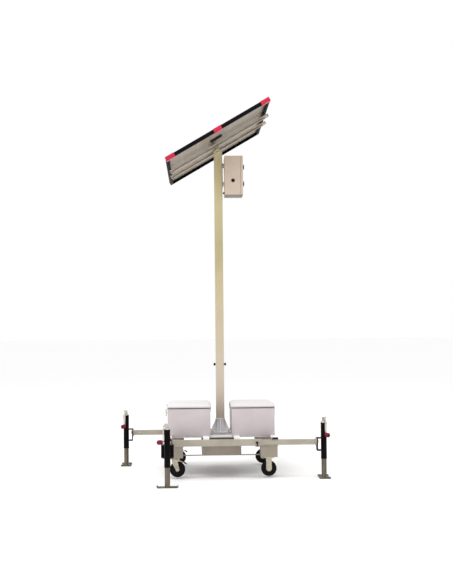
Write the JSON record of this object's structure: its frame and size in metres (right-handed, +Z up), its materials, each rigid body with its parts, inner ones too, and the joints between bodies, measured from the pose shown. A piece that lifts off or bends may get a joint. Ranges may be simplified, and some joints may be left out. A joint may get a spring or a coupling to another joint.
{
  "type": "portable solar mast trailer",
  "caption": "Castered base with sliding outriggers and crank jacks, battery boxes, a telescoping mast, a control enclosure and a tilting solar panel.",
  "frame": {"origin": "on the ground under the mast axis, in the middle of the four outrigger feet", "axes": "+Z up along the mast, +X towards the enclosure and the panel's high edge, +Y away from the end with the front casters"},
  "size_m": [2.087, 2.087, 3.6378],
  "materials": {
    "cream_frame_paint": "satin",
    "white_frame_paint": "satin",
    "box_paint": "satin",
    "lid_paint": "satin",
    "mast_paint": "satin",
    "black_plastic": "matte",
    "black_paint": "satin",
    "dark_casing": "matte",
    "zinc_plate": "satin",
    "zinc_leg": "satin",
    "wheel_rubber": "matte",
    "enclosure_plastic": "satin",
    "black_aluminium": "satin",
    "laminate": "gloss",
    "rail_aluminium": "satin",
    "red_guard": "gloss"
  },
  "bodies": {
    "base": {"sleeves": "cream_frame_paint", "deck_frame": "white_frame_paint", "end_plugs": "black_plastic", "caster_blocks": "cream_frame_paint", "underslung_tray": "cream_frame_paint", "mast_foot": "white_frame_paint", "mast_post": "white_frame_paint", "arm_pins": "black_paint", "battery_boxes": "box_paint", "box_seals": "black_plastic", "batteries": "dark_casing", "caster_mounts": "zinc_plate", "base_bolts": "zinc_plate"},
    "arm_front_right": {"arm_front_right": "cream_frame_paint"},
    "jack_front_right": {"jack_tube_front_right": "black_paint"},
    "leg_front_right": {"jack_leg_front_right": "zinc_leg"},
    "crank_front_right": {"crank_head_front_right": "zinc_plate"},
    "handle_front_right": {"crank_handle_front_right": "zinc_plate"},
    "arm_rear_right": {"arm_rear_right": "cream_frame_paint"},
    "jack_rear_right": {"jack_tube_rear_right": "black_paint"},
    "leg_rear_right": {"jack_leg_rear_right": "zinc_leg"},
    "crank_rear_right": {"crank_head_rear_right": "zinc_plate"},
    "handle_rear_right": {"crank_handle_rear_right": "zinc_plate"},
    "arm_rear_left": {"arm_rear_left": "cream_frame_paint"},
    "jack_rear_left": {"jack_tube_rear_left": "black_paint"},
    "leg_rear_left": {"jack_leg_rear_left": "zinc_leg"},
    "crank_rear_left": {"crank_head_rear_left": "zinc_plate"},
    "handle_rear_left": {"crank_handle_rear_left": "zinc_plate"},
    "arm_front_left": {"arm_front_left": "cream_frame_paint"},
    "jack_front_left": {"jack_tube_front_left": "black_paint"},
    "leg_front_left": {"jack_leg_front_left": "zinc_leg"},
    "crank_front_left": {"crank_head_front_left": "zinc_plate"},
    "handle_front_left": {"crank_handle_front_left": "zinc_plate"},
    "caster_front": {"caster_fork_front": "zinc_plate"},
    "pedal_front": {"brake_pedal_front": "zinc_plate"},
    "wheel_front_left": {"wheel_front_left": "wheel_rubber"},
    "wheel_front_right": {"wheel_front_right": "wheel_rubber"},
    "caster_rear": {"caster_fork_rear": "zinc_plate"},
    "pedal_rear": {"brake_pedal_rear": "zinc_plate"},
    "wheel_rear_left": {"wheel_rear_left": "wheel_rubber"},
    "wheel_rear_right": {"wheel_rear_right": "wheel_rubber"},
    "lid_right": {"box_lid_right": "lid_paint"},
    "latch_right": {"lid_latch_right": "zinc_plate"},
    "lid_left": {"box_lid_left": "lid_paint"},
    "latch_left": {"lid_latch_left": "zinc_plate"},
    "mast": {"mast_tube": "mast_paint", "mast_head": "white_frame_paint", "enclosure_bracket": "zinc_plate", "enclosure_body": "enclosure_plastic", "enclosure_glands": "black_plastic", "charge_controller": "dark_casing"},
    "knob_right": {"mast_knob_right": "black_plastic"},
    "knob_left": {"mast_knob_left": "black_plastic"},
    "panel": {"panel_frame": "black_aluminium", "panel_laminate": "laminate", "panel_rails": "rail_aluminium", "panel_guards": "red_guard", "junction_box": "black_plastic"},
    "door": {"enclosure_door": "enclosure_plastic"},
    "lock_lower": {"door_lock_lower": "black_plastic"},
    "lock_upper": {"door_lock_upper": "black_plastic"}
  },
  "joints": [
    {"name": "arm_slide_front_right", "type": "slide", "parent": "base", "child": "arm_front_right", "axis": [1, 0, 0], "range_m": [-0.33, 0]},
    {"name": "jack_swivel_front_right", "type": "hinge", "parent": "arm_front_right", "child": "jack_front_right", "pos_m": [0.99, -0.515, 0.346], "axis": [-1, 0, 0], "range_deg": [0, 90]},
    {"name": "crank_turn_front_right", "type": "hinge", "parent": "jack_front_right", "child": "crank_front_right", "pos_m": [0.99, -0.515, 0.54], "axis": [0, 0, 1], "range_deg": [-10080, 10800]},
    {"name": "leg_slide_front_right", "type": "slide", "parent": "jack_front_right", "child": "leg_front_right", "axis": [0, 0, -1], "range_m": [-0.14, 0.15]},
    {"name": "crank_fold_front_right", "type": "hinge", "parent": "crank_front_right", "child": "handle_front_right", "pos_m": [0.9945, -0.52613, 0.573], "axis": [-0.9272, -0.3746, 0], "range_deg": [0, 80]},
    {"name": "arm_slide_rear_right", "type": "slide", "parent": "base", "child": "arm_rear_right", "axis": [0, 1, 0], "range_m": [-0.33, 0]},
    {"name": "jack_swivel_rear_right", "type": "hinge", "parent": "arm_rear_right", "child": "jack_rear_right", "pos_m": [0.515, 0.99, 0.346], "axis": [0, -1, 0], "range_deg": [0, 90]},
    {"name": "crank_turn_rear_right", "type": "hinge", "parent": "jack_rear_right", "child": "crank_rear_right", "pos_m": [0.515, 0.99, 0.54], "axis": [0, 0, 1], "range_deg": [-10080, 10800]},
    {"name": "leg_slide_rear_right", "type": "slide", "parent": "jack_rear_right", "child": "leg_rear_right", "axis": [0, 0, -1], "range_m": [-0.14, 0.15]},
    {"name": "crank_fold_rear_right", "type": "hinge", "parent": "crank_rear_right", "child": "handle_rear_right", "pos_m": [0.52613, 0.9945, 0.573], "axis": [0.3746, -0.9272, 0], "range_deg": [0, 80]},
    {"name": "arm_slide_rear_left", "type": "slide", "parent": "base", "child": "arm_rear_left", "axis": [-1, 0, 0], "range_m": [-0.33, 0]},
    {"name": "jack_swivel_rear_left", "type": "hinge", "parent": "arm_rear_left", "child": "jack_rear_left", "pos_m": [-0.99, 0.515, 0.346], "axis": [1, 0, 0], "range_deg": [0, 90]},
    {"name": "crank_turn_rear_left", "type": "hinge", "parent": "jack_rear_left", "child": "crank_rear_left", "pos_m": [-0.99, 0.515, 0.54], "axis": [0, 0, 1], "range_deg": [-10080, 10800]},
    {"name": "leg_slide_rear_left", "type": "slide", "parent": "jack_rear_left", "child": "leg_rear_left", "axis": [0, 0, -1], "range_m": [-0.14, 0.15]},
    {"name": "crank_fold_rear_left", "type": "hinge", "parent": "crank_rear_left", "child": "handle_rear_left", "pos_m": [-0.9945, 0.50387, 0.573], "axis": [-0.9272, 0.3746, 0], "range_deg": [0, 80]},
    {"name": "arm_slide_front_left", "type": "slide", "parent": "base", "child": "arm_front_left", "axis": [0, -1, 0], "range_m": [-0.33, 0]},
    {"name": "jack_swivel_front_left", "type": "hinge", "parent": "arm_front_left", "child": "jack_front_left", "pos_m": [-0.515, -0.99, 0.346], "axis": [0, 1, 0], "range_deg": [0, 90]},
    {"name": "crank_turn_front_left", "type": "hinge", "parent": "jack_front_left", "child": "crank_front_left", "pos_m": [-0.515, -0.99, 0.54], "axis": [0, 0, 1], "range_deg": [-10080, 10800]},
    {"name": "leg_slide_front_left", "type": "slide", "parent": "jack_front_left", "child": "leg_front_left", "axis": [0, 0, -1], "range_m": [-0.14, 0.15]},
    {"name": "crank_fold_front_left", "type": "hinge", "parent": "crank_front_left", "child": "handle_front_left", "pos_m": [-0.52613, -0.9945, 0.573], "axis": [-0.3746, 0.9272, 0], "range_deg": [0, 80]},
    {"name": "caster_swivel_front", "type": "hinge", "parent": "base", "child": "caster_front", "pos_m": [-0.4575, -0.4575, 0.19], "axis": [0, 0, 1], "continuous": true},
    {"name": "brake_pedal_press_front", "type": "hinge", "parent": "caster_front", "child": "pedal_front", "pos_m": [-0.4195, -0.4575, 0.174], "axis": [0, 1, 0], "range_deg": [0, 6]},
    {"name": "wheel_front_left_roll", "type": "hinge", "parent": "caster_front", "child": "wheel_front_left", "pos_m": [-0.4305, -0.4575, 0.088], "axis": [0, 1, 0], "continuous": true},
    {"name": "wheel_front_right_roll", "type": "hinge", "parent": "base", "child": "wheel_front_right", "pos_m": [0.4575, -0.4575, 0.088], "axis": [0, 1, 0], "continuous": true},
    {"name": "caster_swivel_rear", "type": "hinge", "parent": "base", "child": "caster_rear", "pos_m": [-0.4575, 0.4575, 0.19], "axis": [0, 0, 1], "continuous": true},
    {"name": "brake_pedal_press_rear", "type": "hinge", "parent": "caster_rear", "child": "pedal_rear", "pos_m": [-0.4195, 0.4575, 0.174], "axis": [0, 1, 0], "range_deg": [0, 6]},
    {"name": "wheel_rear_left_roll", "type": "hinge", "parent": "caster_rear", "child": "wheel_rear_left", "pos_m": [-0.4305, 0.4575, 0.088], "axis": [0, 1, 0], "continuous": true},
    {"name": "wheel_rear_right_roll", "type": "hinge", "parent": "base", "child": "wheel_rear_right", "pos_m": [0.4575, 0.4575, 0.088], "axis": [0, 1, 0], "continuous": true},
    {"name": "lid_open_right", "type": "hinge", "parent": "base", "child": "lid_right", "pos_m": [0.099, 0, 0.668], "axis": [0, -1, 0], "range_deg": [0, 85]},
    {"name": "latch_turn_right", "type": "hinge", "parent": "base", "child": "latch_right", "pos_m": [0.535, -0.02, 0.599], "axis": [1, 0, 0], "range_deg": [0, 90]},
    {"name": "lid_open_left", "type": "hinge", "parent": "base", "child": "lid_left", "pos_m": [-0.099, 0, 0.668], "axis": [0, 1, 0], "range_deg": [0, 85]},
    {"name": "latch_turn_left", "type": "hinge", "parent": "base", "child": "latch_left", "pos_m": [-0.535, -0.02, 0.599], "axis": [-1, 0, 0], "range_deg": [0, 90]},
    {"name": "mast_slide", "type": "slide", "parent": "base", "child": "mast", "axis": [0, 0, 1], "range_m": [0, 0.45]},
    {"name": "knob_turn_right", "type": "hinge", "parent": "mast", "child": "knob_right", "pos_m": [0.042, 0, 1.084], "axis": [1, 0, 0], "range_deg": [0, 540]},
    {"name": "knob_turn_left", "type": "hinge", "parent": "mast", "child": "knob_left", "pos_m": [-0.042, 0, 1.084], "axis": [-1, 0, 0], "range_deg": [0, 540]},
    {"name": "panel_tilt", "type": "hinge", "parent": "mast", "child": "panel", "pos_m": [0, 0, 3.25], "axis": [0, 1, 0], "range_deg": [-15, 30.2]},
    {"name": "door_open", "type": "hinge", "parent": "mast", "child": "door", "pos_m": [0.223, 0.146, 3], "axis": [0, 0, 1], "range_deg": [0, 110]},
    {"name": "lock_turn_lower", "type": "hinge", "parent": "door", "child": "lock_lower", "pos_m": [0.24, -0.115, 2.913], "axis": [1, 0, 0], "range_deg": [0, 90]},
    {"name": "lock_turn_upper", "type": "hinge", "parent": "door", "child": "lock_upper", "pos_m": [0.24, -0.115, 3.083], "axis": [1, 0, 0], "range_deg": [0, 90]}
  ],
  "couplings": [
    {"joint": "leg_slide_front_right", "follows": "crank_turn_front_right", "m_per_rad": 0.0007957},
    {"joint": "leg_slide_rear_right", "follows": "crank_turn_rear_right", "m_per_rad": 0.0007957},
    {"joint": "leg_slide_rear_left", "follows": "crank_turn_rear_left", "m_per_rad": 0.0007957},
    {"joint": "leg_slide_front_left", "follows": "crank_turn_front_left", "m_per_rad": 0.0007957}
  ]
}
